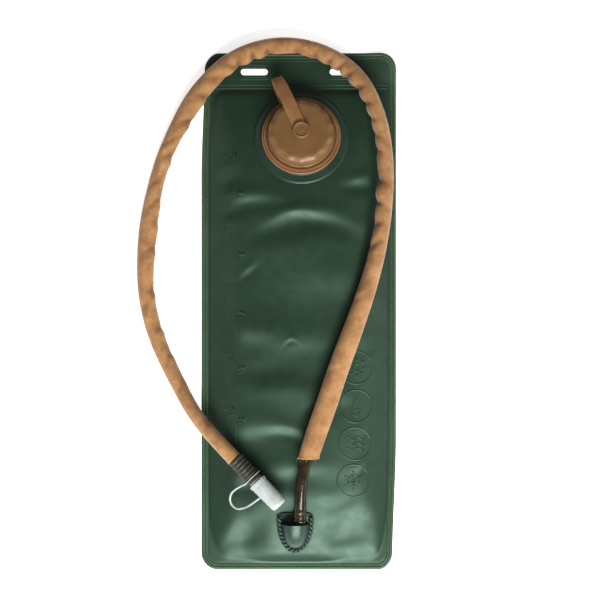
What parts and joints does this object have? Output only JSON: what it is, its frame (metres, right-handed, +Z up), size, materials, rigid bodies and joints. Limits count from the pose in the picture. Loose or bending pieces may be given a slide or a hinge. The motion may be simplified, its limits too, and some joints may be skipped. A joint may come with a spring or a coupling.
{
  "type": "hydration bladder",
  "caption": "Flat water bag lying on its back, with a tilted screw cap on a tether, a hooded outlet port and a sleeved drinking hose that ends in a capped bite valve.",
  "frame": {"origin": "middle of the bag's footprint, on the ground under its flat back", "axes": "+Y along the bag towards the header with the hanging slots, +X across it, +Z up out of the front"},
  "size_m": [0.2147, 0.442, 0.0383],
  "materials": {
    "bag_film": "soft glossy",
    "port_green": "soft glossy",
    "cap_tan": "satin",
    "tether_tan": "satin",
    "seal_rubber": "matte",
    "elbow_smoky": "gloss",
    "hose_amber": "gloss",
    "sleeve_fabric": "woven",
    "barb_dark": "satin",
    "grip_rubber": "matte",
    "mouth_silicone": "satin",
    "dust_cap_frosted": "frosted"
  },
  "bodies": {
    "reservoir": {"front_film": "bag_film", "back_film": "bag_film", "fill_flange": "port_green", "fill_neck": "cap_tan", "outlet_port": "port_green", "outlet_elbow": "elbow_smoky", "elbow_o_ring": "seal_rubber", "drinking_tube": "hose_amber", "tube_sleeve": "sleeve_fabric", "valve_barb": "barb_dark", "valve_grip": "grip_rubber", "bite_valve": "mouth_silicone"},
    "tether": {"cap_tether": "tether_tan"},
    "cap": {"screw_cap": "cap_tan", "cap_gasket": "seal_rubber", "cap_button": "cap_tan"},
    "dust_cap": {"dust_cap": "dust_cap_frosted", "dust_cap_tether": "dust_cap_frosted"}
  },
  "joints": [
    {"name": "cap_lift", "type": "slide", "parent": "reservoir", "child": "tether", "axis": [0, 0.1736, 0.9848], "range_m": [0, 0.01], "deforming": ["cap_tether"]},
    {"name": "cap_turn", "type": "hinge", "parent": "tether", "child": "cap", "pos_m": [0.002, 0.1437, 0.01108], "axis": [0, 0.1736, 0.9848], "range_deg": [0, 450]},
    {"name": "dust_cap_pull", "type": "slide", "parent": "reservoir", "child": "dust_cap", "axis": [0.6961, -0.7122, 0.091], "range_m": [0, 0.0185], "deforming": ["dust_cap_tether"]}
  ],
  "couplings": [
    {"joint": "cap_turn", "follows": "cap_lift", "rad_per_m": 785.4}
  ]
}
